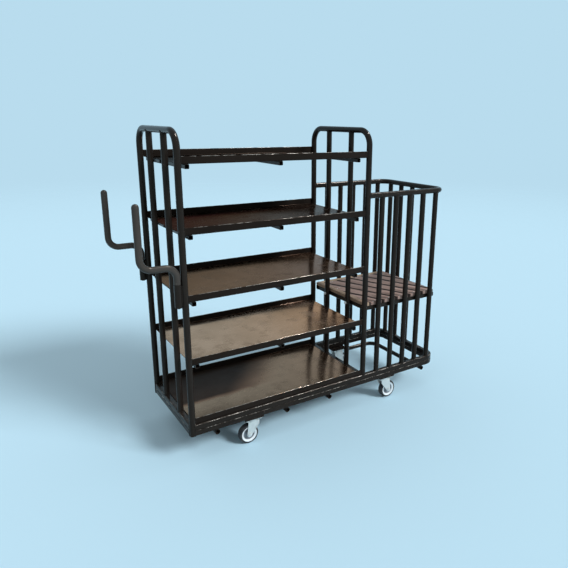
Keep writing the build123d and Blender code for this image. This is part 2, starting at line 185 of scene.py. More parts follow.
ENAMEL_DEEP = (0.0085, 0.0068, 0.0058, 1.0)
ENAMEL_LIGHT = (0.02, 0.016, 0.0135, 1.0)
ENAMEL_RUBBED = (0.075, 0.058, 0.047, 1.0)
ENAMEL_GLOSS = 0.1
black_enamel = (ENAMEL_DEEP, ENAMEL_LIGHT, ENAMEL_RUBBED, ENAMEL_GLOSS)
frame_enamel = enamel("frame_enamel", *black_enamel)
# The rails' enamel has painted highlight lines along its shoulders, drawn as bare steel that also stands
# for wear
rail_enamel = enamel("rail_enamel", *black_enamel, shoulder_wear_and_highlight=1.0)
dress(rail_enamel, "base_lower_rail", "base_upper_rail", "left_lower_rail", "left_upper_rail")
dress(frame_enamel, "deck_cross_rails", "base_cross_tubes", "cage_floor_tube")

# Weld beads
# Every joint of the frame is welded, and the enamel covers the beads. A bead swells and thins with each
# step of the welder's hand along its seam.
BEAD_STEP = 0.0012
BEAD_PITCH = 0.0042
TUBE_BEAD = 0.0055
SEAM_STEPS = 40
MERGE = 1e-6


def geometry_tree(name, sizes):
    """A new geometry tree with named inputs, the values of those inputs, and its output node."""
    tree = bpy.data.node_groups.new(name, "GeometryNodeTree")
    tree.interface.new_socket("Geometry", in_out="INPUT", socket_type="NodeSocketGeometry")
    for size, kind in sizes.items():
        tree.interface.new_socket(size, in_out="INPUT", socket_type="NodeSocket" + kind)
    tree.interface.new_socket("Geometry", in_out="OUTPUT", socket_type="NodeSocketGeometry")
    entry = tree.nodes.new("NodeGroupInput")
    given = {socket.name: Value(tree, socket) for socket in entry.outputs if socket.name}
    return tree, given, tree.nodes.new("NodeGroupOutput")


def finish_tree(made, material, out):
    """The end of every tree: instances made real, and the material set."""
    made = made.node("GeometryNodeRealizeInstances", {}, {"Geometry": made})
    made = made.node("GeometryNodeSetMaterial", {}, {"Geometry": made, "Material": material})
    made.feed(out.inputs["Geometry"], made)


def grown(tree, mesh, sizes):
    """The plain mesh that a geometry tree grows from a mesh, with its named inputs set."""
    start = bpy.data.objects.new(tree.name + "_start", mesh)
    bpy.context.scene.collection.objects.link(start)
    modifier = start.modifiers.new(tree.name, "NODES")
    modifier.node_group = tree
    for item in tree.interface.items_tree:
        if item.name in sizes:
            modifier[item.identifier] = sizes[item.name]
    evaluated = start.evaluated_get(bpy.context.evaluated_depsgraph_get())
    result = bpy.data.meshes.new_from_object(evaluated)
    bpy.data.objects.remove(start)
    return result


def bead_tree():
    sizes = {"Thickness": "Float", "Step": "Float", "Pitch": "Float", "Material": "Material"}
    tree, given, out = geometry_tree("weld_bead", sizes)
    seam = given["Geometry"].node("GeometryNodeMeshToCurve", {}, {"Mesh": given["Geometry"]})
    sockets = {"Curve": seam, "Length": given["Step"]}
    seam = seam.node("GeometryNodeResampleCurve", {"mode": "LENGTH"}, sockets)
    along = seam.node("GeometryNodeSplineParameter", {}, {}, "Length")
    hand_steps = along / given["Pitch"]
    ripple = along.math("PINGPONG", hand_steps, 0.5)
    section = seam.node("GeometryNodeCurvePrimitiveCircle", {}, {"Resolution": 8, "Radius": 0.5}, "Curve")
    sockets = {
        "Curve": seam,
        "Profile Curve": section,
        "Scale": given["Thickness"] * (0.8 + 0.5 * ripple),
        "Fill Caps": True,
    }
    finish_tree(seam.node("GeometryNodeCurveToMesh", {}, sockets), given["Material"], out)
    return tree


def piece(name, mesh, body, slot, material, *replaced):
    """A finished mesh as a piece of the object: it rides on a body and may stand for CAD nodes."""
    mesh.materials.clear()
    mesh.materials.append(material)
    made = bpy.data.objects.new(name, mesh)
    bpy.context.scene.collection.objects.link(made)
    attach(made, body)
    if replaced:
        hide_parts(*replaced)
    return made


def weld(name, seams, thickness):
    """Weld beads along seams, which are lists of points. A seam that ends where it starts is closed."""
    shape = bmesh.new()
    for seam in seams:
        points = [shape.verts.new(point) for point in seam]
        for first, second in zip(points, points[1:]):
            shape.edges.new((first, second))
    bmesh.ops.remove_doubles(shape, verts=shape.verts, dist=MERGE)
    mesh = bpy.data.meshes.new(name + "_seams")
    shape.to_mesh(mesh)
    shape.free()
    sizes = {"Thickness": thickness, "Step": BEAD_STEP, "Pitch": BEAD_PITCH, "Material": frame_enamel}
    beads = grown(weld_bead, mesh, sizes)
    beads.shade_smooth()
    piece(name, beads, "frame", "black_paint", frame_enamel)


def ring_seam(x, y, radius, height):
    """A closed seam round an upright tube. Its height follows from the offsets from the tube's axis."""
    seam = []
    for step in range(SEAM_STEPS + 1):
        turn = math.tau * step / SEAM_STEPS
        aside = (radius * math.cos(turn), radius * math.sin(turn))
        seam.append((x + aside[0], y + aside[1], height(*aside)))
    return seam


def line_seam(start, **ends):
    """A straight seam from a point to the same point with some of its coordinates changed."""
    end = [ends.get(axis, value) for axis, value in zip("xyz", start)]
    return [start, end]


weld_bead = bead_tree()
hoop_low, hoop_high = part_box("left_hoop")
rail_low, rail_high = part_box("base_lower_rail")
TUBE = (hoop_high.x - hoop_low.x) / 2
LEFT_X = (hoop_high.x + hoop_low.x) / 2
MIDDLE_X = sum(corner.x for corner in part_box("middle_hoop")) / 2
END_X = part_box("cage_top_rail")[1].x - TUBE
SIDE_Y = hoop_high.y - TUBE
BASE_Z = rail_low.z
RAIL = rail_high.z - rail_low.z
DECK_Z = BASE_Z + 2 * RAIL
RAIL_CORNER = 0.005
SHOULDER_SINK = 0.6


def rail_top(across):
    """Height of a weld on the upper rail: it sinks a part of the way down the rounded shoulders."""
    over = min(max(abs(across) - (RAIL / 2 - RAIL_CORNER), 0.0), RAIL_CORNER)
    return DECK_Z - SHOULDER_SINK * (RAIL_CORNER - math.sqrt(RAIL_CORNER ** 2 - over ** 2))


def foot_on_x_rail(along, across):
    return rail_top(across)


def foot_on_y_rail(across, along):
    return rail_top(across)


base_seams = []
for side in (-SIDE_Y, SIDE_Y):
    for face in (-RAIL / 2, RAIL / 2):
        start = (LEFT_X + TUBE / 2, side + face, BASE_Z)
        base_seams.append(line_seam(start, z=DECK_Z))
    inward = -math.copysign(1.0, side)
    start = (LEFT_X - RAIL / 2, side + inward * TUBE / 2, BASE_Z)
    base_seams.append(line_seam(start, z=DECK_Z))
for plate_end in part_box("caster_mount_plates"):
    for side in (-SIDE_Y, SIDE_Y):
        start = (plate_end.x, side - RAIL / 2, BASE_Z)
        base_seams.append(line_seam(start, y=side + RAIL / 2))
weld("base_welds", base_seams, TUBE_BEAD)

# Hoops
# Two tall bent tubes with two upright bars in each, cut to a saddle where they meet the bend's tube.
# The left hoop runs down past the base rails, and the middle one stands on them. Same enamel.
dress(frame_enamel, "left_hoop", "left_hoop_bars", "middle_hoop", "middle_hoop_bars")
bar_low, bar_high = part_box("left_hoop_bars")
BAR = (bar_high.x - bar_low.x) / 2
HOOP_BAR_Y = bar_high.y - BAR
HOOP_TOP_Z = hoop_high.z - TUBE


def under_hoop(across, along):
    return HOOP_TOP_Z - math.sqrt(TUBE ** 2 - across ** 2)


hoop_seams = []
for hoop_x in (LEFT_X, MIDDLE_X):
    for bar_y in (-HOOP_BAR_Y, HOOP_BAR_Y):
        hoop_seams.append(ring_seam(hoop_x, bar_y, BAR, foot_on_y_rail))
        hoop_seams.append(ring_seam(hoop_x, bar_y, BAR, under_hoop))
for side in (-SIDE_Y, SIDE_Y):
    hoop_seams.append(ring_seam(MIDDLE_X, side, TUBE, foot_on_x_rail))
weld("hoop_welds", hoop_seams, TUBE_BEAD)

# Cage
# Upright bars between the base rails and a bent top rail close three sides of the right-hand end.
# The bars are saddle cut and welded, and the whole cage has the frame's enamel.
dress(frame_enamel, "cage_top_rail", "cage_side_bars", "cage_end_bars")
CAGE_RAIL_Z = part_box("cage_top_rail")[1].z - TUBE
SIDE_BARS = 5
END_BARS = 5


def spread(low, high, count):
    """Evenly spaced places from low to high."""
    return [low + (high - low) * step / (count - 1) for step in range(count)]


def under_x_rail(along, across):
    return CAGE_RAIL_Z - math.sqrt(TUBE ** 2 - across ** 2)


def under_y_rail(across, along):
    return under_x_rail(along, across)


def leg_seam(side):
    """The seam where an end of the cage's top rail meets a leg of the middle hoop."""
    seam = []
    for step in range(SEAM_STEPS + 1):
        turn = math.tau * step / SEAM_STEPS
        x = MIDDLE_X + TUBE * abs(math.cos(turn))
        seam.append((x, side + TUBE * math.sin(turn), CAGE_RAIL_Z + TUBE * math.cos(turn)))
    return seam


side_low, side_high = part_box("cage_side_bars")
end_low, end_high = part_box("cage_end_bars")
cage_seams = []
for side in (-SIDE_Y, SIDE_Y):
    cage_seams.append(leg_seam(side))
    for bar_x in spread(side_low.x + BAR, side_high.x - BAR, SIDE_BARS):
        cage_seams.append(ring_seam(bar_x, side, BAR, foot_on_x_rail))
        cage_seams.append(ring_seam(bar_x, side, BAR, under_x_rail))
for bar_y in spread(end_low.y + BAR, end_high.y - BAR, END_BARS):
    cage_seams.append(ring_seam(END_X, bar_y, BAR, foot_on_y_rail))
    cage_seams.append(ring_seam(END_X, bar_y, BAR, under_y_rail))
weld("cage_welds", cage_seams, TUBE_BEAD)

# Trays
# The deck and the four shelves are steel sheet, folded up at front and back into lips. The frame's
# enamel covers them. On the floors it has a brown sheen with long scuffs and dust, whose tones are
# painted reflection and light that differ from floor to floor. Painted shade darkens the deck's back
# left corner, and the lips' upper edges carry painted highlights of bare steel that also stand for wear.
EDGE_ROUND = 0.0007
SOFT_FROM = math.radians(50)
FLAT_WITHIN = math.radians(0.5)
TRAY_BEAD = 0.004
WELD_TO_LEG = 0.0005


def smooth_mesh(name, shape, crease=35.0):
    """A mesh from a bmesh, shaded smooth except across edges sharper than the crease."""
    mesh = bpy.data.meshes.new(name)
    shape.to_mesh(mesh)
    shape.free()
    mesh.shade_smooth()
    mesh.set_sharp_from_angle(angle=math.radians(crease))
    return mesh


def softened(name, radius):
    """A merged copy of a CAD node's mesh with its sharp edges rounded off."""
    shape = bmesh.new()
    shape.from_mesh(nodes[name].data)
    bmesh.ops.remove_doubles(shape, verts=shape.verts, dist=MERGE)
    bmesh.ops.dissolve_limit(shape, angle_limit=FLAT_WITHIN, verts=shape.verts, edges=shape.edges)
    sharp = [e for e in shape.edges if e.is_manifold and e.calc_face_angle() > SOFT_FROM]
    bmesh.ops.bevel(shape, geom=sharp, offset=radius, segments=2, profile=0.5, affect="EDGES")
    return smooth_mesh(name + "_softened", shape)


# Painted shade darkens the deck's back left corner: behind the first pair of Y values and left of a line
# through the pair of X values, which slants with Y
PAINTED_SHADE_FROM_Y = (-0.09, -0.04)
PAINTED_SHADE_TO_X = (LEFT_X + 0.28, MIDDLE_X - 0.38)
PAINTED_SHADE_SLANT = 0.8
# Bright bare steel on a lip's upper edge, partly wear and partly a painted highlight, sets in between these
# heights above its top, once the ragged edge is added
LIP_RAGGED = 0.003
LIP_WEAR_AND_HIGHLIGHT = (-0.0002, 0.0008)


def tray_coat(name, deep, light, edge_tint, painted_shade_corner, lip_top):
    """The frame's enamel, with a brown sheen on the floor and long scuffs. The brown tones are painted
    reflection and light.

    Painted shade may darken some of the back left corner. The lips' upper edges show bare steel in places,
    partly wear and partly a painted highlight.
    """
    material, shader, place = finish(name, {"Specular IOR Level": 0.05, "Specular Tint": edge_tint})
    rolling = noise(drawn_out(place, (1.2, 0.02, 0.5)), 6.0, 6.0)
    cloud = noise(place, 4.0, 5.0)
    scuffs = ramp(noise(drawn_out(place, (0.25, 0.012, 0.1), 0.5), 5.0, 7.0), 0.60, 0.72)
    dust = ramp(noise(place, 17.0, 7.0), 0.42, 0.8)
    x, y, z = [place.node("ShaderNodeSeparateXYZ", {}, {"Vector": place}, axis) for axis in "XYZ"]
    # Painted shade: the deck's back left corner loses its sheen and stays dark
    behind = ramp(y + 0.06 * (cloud - 0.5), *PAINTED_SHADE_FROM_Y)
    dull = painted_shade_corner * behind * (1.0 - ramp(x - PAINTED_SHADE_SLANT * y, *PAINTED_SHADE_TO_X))
    sheen = ramp(upward(place), 0.45, 0.95) * (1.0 - dull)
    # Painted reflection and light: the floor's brown tones, with scuffs and dust laid over them
    rubbed_and_sheen = mix(ramp(0.6 * cloud + 0.4 * rolling, 0.3, 0.7), deep, light)
    rubbed_and_sheen = mix(0.3 * scuffs + 0.2 * dust, rubbed_and_sheen, DUST)
    # Painted highlight along the lips' upper edges, as broken lines of bare steel that also stand for wear
    ragged_height = z + LIP_RAGGED * noise(place, 60.0, 5.0)
    edge = ramp(ragged_height, *[lip_top + height for height in LIP_WEAR_AND_HIGHLIGHT])
    bare_and_highlight = 0.6 * edge * ramp(noise(place, 26.0), 0.4, 0.56)
    colour = mix(sheen, mix(cloud, ENAMEL_DEEP, ENAMEL_LIGHT), rubbed_and_sheen)
    place.feed(shader.inputs["Base Color"], mix(bare_and_highlight, colour, BARE_STEEL_AND_HIGHLIGHT))
    place.feed(shader.inputs["Metallic"], 0.93 * sheen + 0.4 * bare_and_highlight)
    place.feed(shader.inputs["Roughness"], 0.36 - 0.2 * sheen + 0.08 * cloud + 0.12 * dust + 0.1 * scuffs)
    place.feed(shader.inputs["Normal"], bump(rolling + 0.5 * noise(place, 300.0), 0.0004, 0.05))
    return material


# Colours of each floor, painted reflection and light that differ from floor to floor, its tint at a flat
# angle, and how strongly painted shade darkens its back left corner
FLOORS = {
    "deck_tray": ((0.27, 0.178, 0.123, 1.0), (0.38, 0.25, 0.172, 1.0), (0.89, 0.62, 0.53, 1.0), 0.95),
    "shelf_1": ((0.46, 0.32, 0.235, 1.0), (0.64, 0.44, 0.325, 1.0), (0.96, 0.53, 0.36, 1.0), 0.0),
    "shelf_2": ((0.18, 0.11, 0.072, 1.0), (0.265, 0.16, 0.105, 1.0), (0.643, 0.48, 0.425, 1.0), 0.0),
    "shelf_3": ((0.08, 0.053, 0.04, 1.0), (0.125, 0.083, 0.062, 1.0), (0.34, 0.26, 0.22, 1.0), 0.0),
    "shelf_4": ((0.03, 0.02, 0.015, 1.0), (0.06, 0.04, 0.03, 1.0), (0.06, 0.04, 0.03, 1.0), 0.0),
}
tray_seams = []
for tray, tones_and_wear in FLOORS.items():
    tray_low, tray_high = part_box(tray)
    coat = tray_coat(tray + "_coat", *tones_and_wear, lip_top=tray_high.z)
    piece(tray + "_sheet", softened(tray, EDGE_ROUND), "frame", "shelf_sheet", coat, tray)
    for end in (tray_low.x - WELD_TO_LEG, tray_high.x + WELD_TO_LEG):
        for lip in (tray_low.y, tray_high.y):
            tray_seams.append(line_seam((end, lip, tray_low.z), z=tray_high.z))
weld("tray_welds", tray_seams, TRAY_BEAD)
dress(frame_enamel, *[f"shelf_{number}_bearers" for number in range(1, 5)])

# Wooden shelf
# Sawn softwood boards lie slantwise on a frame of square tube inside the cage, with a pale batten along
# the left and back edges. Nails hold them, and the frame is bolted to the middle hoop's bars.
dress(frame_enamel, "cage_shelf_side_rails", "cage_shelf_end_rails")
BOARDS = [f"cage_board_{number}" for number in range(1, 8)]
BOARD_TURN = math.radians(23)
BOARD_ROUND = 0.0015
# Painted shade along the gaps fades between these distances from a gap, once the ragged edge is added
GAP_RAGGED = 0.008
GAP_SHADE = (0.012, 0.0204)
GRIME = (0.12, 0.08, 0.062, 1.0)
GAP_SHADE_COLOUR = (0.02, 0.013, 0.011, 1.0)
boards_low = Vector(map(min, zip(*[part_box(board)[0] for board in BOARDS])))
boards_high = Vector(map(max, zip(*[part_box(board)[1] for board in BOARDS])))
along_board = Vector((-math.sin(BOARD_TURN), math.cos(BOARD_TURN), 0.0))
across_board = Vector((math.cos(BOARD_TURN), math.sin(BOARD_TURN), 0.0))
board_pitch = (boards_high - boards_low).dot(across_board) / len(BOARDS)
field_centre = (boards_low + boards_high) / 2


def near_gap(place):
    """1 along the gaps between the boards, 0 on the middle of each board."""
    sockets = {0: place, 1: tuple(across_board)}
    across = place.node("ShaderNodeVectorMath", {"operation": "DOT_PRODUCT"}, sockets, "Value")
    boards_over = (across - field_centre.dot(across_board)) / board_pitch
    from_gap = across.math("ABSOLUTE", across.math("FRACT", boards_over) - 0.5) * board_pitch
    return 1.0 - ramp(from_gap + GAP_RAGGED * noise(place, 30.0, 4.0), *GAP_SHADE)


def sawn_wood(name, pale, dark, turn, grain_shift, gap_shade=0.0):
    """Bare wood with its grain along Y, turned about Z: rings, saw marks, stains and painted shade along
    the gaps.
    """
    material, shader, place = finish(name, {"Specular IOR Level": 0.25})
    sockets = {"Vector": place, "Location": (grain_shift, 0.0, 0.0)}
    shifted = place.node("ShaderNodeMapping", {}, sockets)
    grain = noise(drawn_out(shifted, (0.012, 0.35, 0.02), turn), 4.0, 7.0)
    rings = noise(drawn_out(shifted, (0.05, 0.9, 0.05), turn), 3.0, 2.0)
    saw_marks = noise(drawn_out(shifted, (0.2, 0.0035, 0.05), turn), 4.0, 2.0)
    colour = mix(ramp(0.55 * grain + 0.45 * rings, 0.32, 0.68), dark, pale)
    stain = ramp(noise(place, 11.0, 6.0), 0.5, 0.8)
    colour = mix(0.45 * stain, colour, GRIME)
    # Painted shade: the boards darken towards the gaps between them
    colour = mix(gap_shade * near_gap(place), colour, GAP_SHADE_COLOUR)
    place.feed(shader.inputs["Base Color"], colour)
    place.feed(shader.inputs["Roughness"], 0.62 + 0.2 * grain)
    place.feed(shader.inputs["Normal"], bump(grain + 0.5 * saw_marks, 0.0012, 0.5))
    return material


for number, board in enumerate(BOARDS):
    wood = sawn_wood(
        board + "_wood",
        pale=(0.44, 0.31, 0.265, 1.0),
        dark=(0.22, 0.145, 0.12, 1.0),
        turn=BOARD_TURN,
        grain_shift=0.37 * number,
        gap_shade=0.95,
    )
    piece(board + "_sawn", softened(board, BOARD_ROUND), "frame", "board_wood", wood, board)
left_pine = sawn_wood("left_pine", (0.42, 0.31, 0.22, 1.0), (0.22, 0.15, 0.105, 1.0), 0.0, 2.9)
back_pine = sawn_wood("back_pine", (0.56, 0.44, 0.3, 1.0), (0.36, 0.25, 0.165, 1.0), math.pi / 2, 4.1)
for batten, wood in (("cage_left_batten", left_pine), ("cage_back_batten", back_pine)):
    piece(batten + "_sawn", softened(batten, BOARD_ROUND), "frame", "board_wood", wood, batten)


def turned(shape, centre, axis, profile, sides, closed=False):
    """Adds rings round an axis, joined by faces. Each ring is a radius and a height along the axis.

    Either may be a function of the angle. A closed profile makes a hollow ring, and any other is capped.
    """
    upright = Vector((0.0, 0.0, 1.0)).rotation_difference(Vector(axis)).to_matrix()
    angles = [math.tau * step / sides for step in range(sides)]
    rings = []
    for radius, height in profile:
        ring = []
        for angle in angles:
            out = radius(angle) if callable(radius) else radius
            up = height(angle) if callable(height) else height
            point = Vector((out * math.cos(angle), out * math.sin(angle), up))
            ring.append(shape.verts.new(Vector(centre) + upright @ point))
        rings.append(ring)
    for lower, upper in zip(rings, rings[1:] + rings[:1] if closed else rings[1:]):
        for step in range(sides):
            after = (step + 1) % sides
            shape.faces.new((lower[step], lower[after], upper[after], upper[step]))
    if not closed:
        shape.faces.new(rings[0])
        shape.faces.new(rings[-1])


def turned_mesh(name, shape):
    bmesh.ops.recalc_face_normals(shape, faces=shape.faces)
    return smooth_mesh(name, shape)


def hexagon(flats, height, start=0.0):
    """Profile of a bolt head or nut: a hexagon whose outer corners are turned off at 30 degrees."""
    face = 0.47 * flats

    def corner(angle):
        return flats / 2 / math.cos((angle + math.pi / 6) % (math.pi / 3) - math.pi / 6)

    def shoulder(angle):
        return start + height - (corner(angle) - face) * math.tan(math.pi / 6)

    return [(corner, start), (corner, shoulder), (face, start + height)]


def washer(radius, height):
    """Profile of a washer with a broken outer edge."""
    return [(radius, 0.0), (radius, 0.75 * height), (radius - 0.25 * height, height)]


def scatter_tree():
    """Copies of a fastener on points, each turned by its own random angle about Z."""
    sizes = {"Fastener": "Object", "Seed": "Int", "Material": "Material"}
    tree, given, out = geometry_tree("scattered_fasteners", sizes)
    points = given["Geometry"].node("GeometryNodeMeshToPoints", {}, {"Mesh": given["Geometry"]})
    sockets = {"Min": 0.0, "Max": math.tau, "Seed": given["Seed"]}
    turn = points.node("FunctionNodeRandomValue", {"data_type": "FLOAT"}, sockets)
    turn = points.node("ShaderNodeCombineXYZ", {}, {"Z": turn})
    turn = points.node("FunctionNodeEulerToRotation", {}, {"Euler": turn})
    fastener = points.node("GeometryNodeObjectInfo", {}, {"Object": given["Fastener"]}, "Geometry")
    sockets = {"Points": points, "Instance": fastener, "Rotation": turn}
    finish_tree(points.node("GeometryNodeInstanceOnPoints", {}, sockets), given["Material"], out)
    return tree


def scattered(name, points, shape, seed, material):
    """One mesh with a fastener, given as a bmesh round the origin, on each point."""
    fastener = bpy.data.objects.new(name + "_fastener", turned_mesh(name + "_fastener", shape))
    bpy.context.scene.collection.objects.link(fastener)
    mesh = bpy.data.meshes.new(name + "_points")
    mesh.from_pydata(points, [], [])
    result = grown(fasteners, mesh, {"Fastener": fastener, "Seed": seed, "Material": material})
    bpy.data.objects.remove(fastener)
    return result


ZINC_GRIME = (0.16, 0.145, 0.13, 1.0)


def zinc_plate(name, dull, bright, dirt, metal):
    """Zinc plating: cloudy brightness, fine drag lines and grime."""
    material, shader, place = finish(name, {"Metallic": metal})
    bloom = noise(place, 38.0, 6.0)
    drag = noise(drawn_out(place, (0.05, 0.05, 0.004)), 6.0, 3.0)
    grime = ramp(noise(place, 26.0, 7.0), 0.52, 0.75)
    colour = mix(bloom, dull, bright)
    colour = mix(dirt * grime, colour, ZINC_GRIME)
    place.feed(shader.inputs["Base Color"], colour)
    place.feed(shader.inputs["Roughness"], 0.3 + 0.15 * bloom + 0.1 * drag + 0.2 * grime)
    place.feed(shader.inputs["Normal"], bump(drag + 0.4 * bloom, 0.0003, 0.3))
    return material


zinc = zinc_plate(
    "zinc_plate",
    dull=(0.64, 0.64, 0.62, 1.0),
    bright=(0.86, 0.86, 0.83, 1.0),
    dirt=0.4,
    metal=0.7,
)
fasteners = scatter_tree()
NAIL = 0.0032
NAIL_SIDES = 10
NAIL_SUNK = 0.001
NAIL_PROUD = (0.0002, 0.0006)
NAIL_APART = 0.024
NAIL_INSET = 0.0125
nail_points = []
for number in range(len(BOARDS)):
    middle = field_centre + across_board * (board_pitch * (number - (len(BOARDS) - 1) / 2))
    reach = []
    for axis in (0, 1):
        for edge in (boards_low[axis] + NAIL_INSET, boards_high[axis] - NAIL_INSET):
            reach.append((edge - middle[axis]) / along_board[axis])
    reach.sort()
    for along in reach[1:3]:
        for aside in (-NAIL_APART / 2, NAIL_APART / 2):
            nail = middle + along_board * along + across_board * aside
            nail_points.append((nail.x, nail.y, boards_high.z))
nail_head = bmesh.new()
nail_profile = [(NAIL, -NAIL_SUNK), (NAIL, NAIL_PROUD[0]), (0.7 * NAIL, NAIL_PROUD[1])]
turned(nail_head, (0, 0, 0), (0, 0, 1), nail_profile, NAIL_SIDES)
nail_mesh = scattered("board_nails", nail_points, nail_head, seed=3, material=zinc)
piece("board_nails", nail_mesh, "frame", "zinc", zinc)

# Bolts of the shelf's frame: head on the hoop's bar, nut behind the rail, and the stud's end past the nut
shelf_bolt_low, shelf_bolt_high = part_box("shelf_bolts")
shelf_rail_low, shelf_rail_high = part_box("cage_shelf_side_rails")
BOLT_FLATS = shelf_bolt_high.z - shelf_bolt_low.z
BOLT = 0.004
BOLT_SIDES = 20
HEAD_SIDES = 36
WASHER = 0.0012
WASHER_RADIUS = 0.008
NUT_SHARE = 0.85
SHELF_RAIL = shelf_rail_high.z - shelf_rail_low.z
shelf_bolt_z = (shelf_bolt_low.z + shelf_bolt_high.z) / 2
nut_face = shelf_rail_low.x + SHELF_RAIL
bolt_shape = bmesh.new()
for bar_y in (-HOOP_BAR_Y, HOOP_BAR_Y):
    head_face = (MIDDLE_X - BAR, bar_y, shelf_bolt_z)
    head_height = head_face[0] - shelf_bolt_low.x - WASHER
    turned(bolt_shape, head_face, (-1, 0, 0), washer(WASHER_RADIUS, WASHER), HEAD_SIDES)
    turned(bolt_shape, head_face, (-1, 0, 0), hexagon(BOLT_FLATS, head_height, WASHER), HEAD_SIDES)
    nut_place = (nut_face, bar_y, shelf_bolt_z)
    nut_height = NUT_SHARE * (shelf_bolt_high.x - nut_face - WASHER)
    turned(bolt_shape, nut_place, (1, 0, 0), washer(WASHER_RADIUS, WASHER), HEAD_SIDES)
    turned(bolt_shape, nut_place, (1, 0, 0), hexagon(BOLT_FLATS, nut_height, WASHER), HEAD_SIDES)
    length = shelf_bolt_high.x - head_face[0]
    turned(bolt_shape, head_face, (1, 0, 0), [(BOLT, 0.0), (BOLT, length)], BOLT_SIDES)
piece("shelf_hex_bolts", turned_mesh("shelf_hex_bolts", bolt_shape), "frame", "zinc", zinc, "shelf_bolts")

# Push handles
# Two bent tubes with domed tops, each turning on a pin in a sleeve that is welded to a corner leg.
# Their enamel is greyer and rubbed dull by hands.
handle_enamel = enamel(
    "handle_enamel",
    deep=(0.03, 0.027, 0.0245, 1.0),
    light=(0.06, 0.054, 0.049, 1.0),
    rubbed_and_sheen=(0.15, 0.138, 0.125, 1.0),
    gloss=0.24,
)
dress(handle_enamel, "front_handle", "back_handle")
dress(frame_enamel, "front_handle_sleeve", "back_handle_sleeve")
SLEEVE_BEAD = 0.007
SLEEVE_WELD_Y = 0.0065
SLEEVE_WELD_SHORT = 0.006
sleeve_seams = []
for sleeve in ("front_handle_sleeve", "back_handle_sleeve"):
    sleeve_low, sleeve_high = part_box(sleeve)
    for aside in (-SLEEVE_WELD_Y, SLEEVE_WELD_Y):
        y = (sleeve_low.y + sleeve_high.y) / 2 + aside
        start = (LEFT_X - TUBE, y, sleeve_low.z + SLEEVE_WELD_SHORT)
        sleeve_seams.append(line_seam(start, z=sleeve_high.z - SLEEVE_WELD_SHORT))
weld("sleeve_welds", sleeve_seams, SLEEVE_BEAD)

# Casters
# Pressed forks of bright zinc plate swivel under bolted plates. The wheels have a grey moulded hub with
# a bright rim and a grey rubber tyre, on a through bolt.
CASTERS = ["front_left", "back_left", "front_right", "back_right"]
HUB_DEEP = (0.16, 0.185, 0.215, 1.0)
HUB_LIGHT = (0.24, 0.27, 0.3, 1.0)
HUB_GRIME = (0.06, 0.058, 0.055, 1.0)
RUBBER = (0.025, 0.026, 0.028, 1.0)
RUBBER_DUST = (0.1, 0.098, 0.094, 1.0)


def hub_moulding():
    material, shader, place = finish("hub_moulding", {"Specular IOR Level": 0.5})
    flow = noise(place, 60.0, 4.0)
    grime = ramp(noise(place, 45.0, 6.0), 0.5, 0.72)
    colour = mix(flow, HUB_DEEP, HUB_LIGHT)
    colour = mix(0.5 * grime, colour, HUB_GRIME)
    place.feed(shader.inputs["Base Color"], colour)
    place.feed(shader.inputs["Roughness"], 0.32 + 0.15 * flow + 0.25 * grime)
    place.feed(shader.inputs["Normal"], bump(flow, 0.0003, 0.25))
    return material


def tyre_rubber():
    material, shader, place = finish("tyre_rubber", {"Specular IOR Level": 0.3})
    skin = noise(place, 500.0, 3.0)
    dust = ramp(noise(place, 30.0, 6.0), 0.42, 0.7)
    colour = mix(0.7 * dust, RUBBER, RUBBER_DUST)
    place.feed(shader.inputs["Base Color"], colour)
    place.feed(shader.inputs["Roughness"], 0.6 + 0.25 * dust)
    place.feed(shader.inputs["Normal"], bump(skin, 0.0004, 0.3))
    return material


hub_plastic = hub_moulding()
rubber = tyre_rubber()
rim_bright = zinc_plate(
    "rim_bright",
    dull=(0.8, 0.83, 0.84, 1.0),
    bright=(0.93, 0.95, 0.96, 1.0),
    dirt=0.25,
    metal=0.3,
)


def spot(caster, joint):
    """Where a joint of a caster stands."""
    return next(Vector(each["pos_m"]) for each in frame["joints"] if each["name"] == caster + joint)


def arc(centre, radius, start, end, steps):
    """Points of an arc in a profile: radius from the axis and height, with angles in degrees."""
    turns = [math.radians(start + (end - start) * step / steps) for step in range(steps + 1)]
    return [(centre[0] + radius * math.cos(turn), centre[1] + radius * math.sin(turn)) for turn in turns]


PLATE_ROUND = 0.0008
PLATES = {"caster_top_plates": ("zinc", zinc), "caster_mount_plates": ("black_paint", frame_enamel)}
for plates, (slot, coat) in PLATES.items():
    piece(plates + "_pressed", softened(plates, PLATE_ROUND), "frame", slot, coat, plates)

# Bolts under the top plates, four to a caster
PLATE_BOLT_REACH = (0.036, 0.021)
plate_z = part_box("caster_top_plates")[0].z
head_height = plate_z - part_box("caster_bolts")[0].z - WASHER
bolt_head = bmesh.new()
turned(bolt_head, (0, 0, 0), (0, 0, -1), washer(WASHER_RADIUS, WASHER), HEAD_SIDES)
turned(bolt_head, (0, 0, 0), (0, 0, -1), hexagon(BOLT_FLATS, head_height, WASHER), HEAD_SIDES)
plate_bolt_points = []
for caster in CASTERS:
    king = spot(caster, "_swivel_turn")
    for aside in (-PLATE_BOLT_REACH[0], PLATE_BOLT_REACH[0]):
        for forward in (-PLATE_BOLT_REACH[1], PLATE_BOLT_REACH[1]):
            plate_bolt_points.append((king.x + aside, king.y + forward, plate_z))
plate_bolts = scattered("caster_hex_bolts", plate_bolt_points, bolt_head, seed=5, material=zinc)
piece("caster_hex_bolts", plate_bolts, "frame", "zinc", zinc, "caster_bolts")

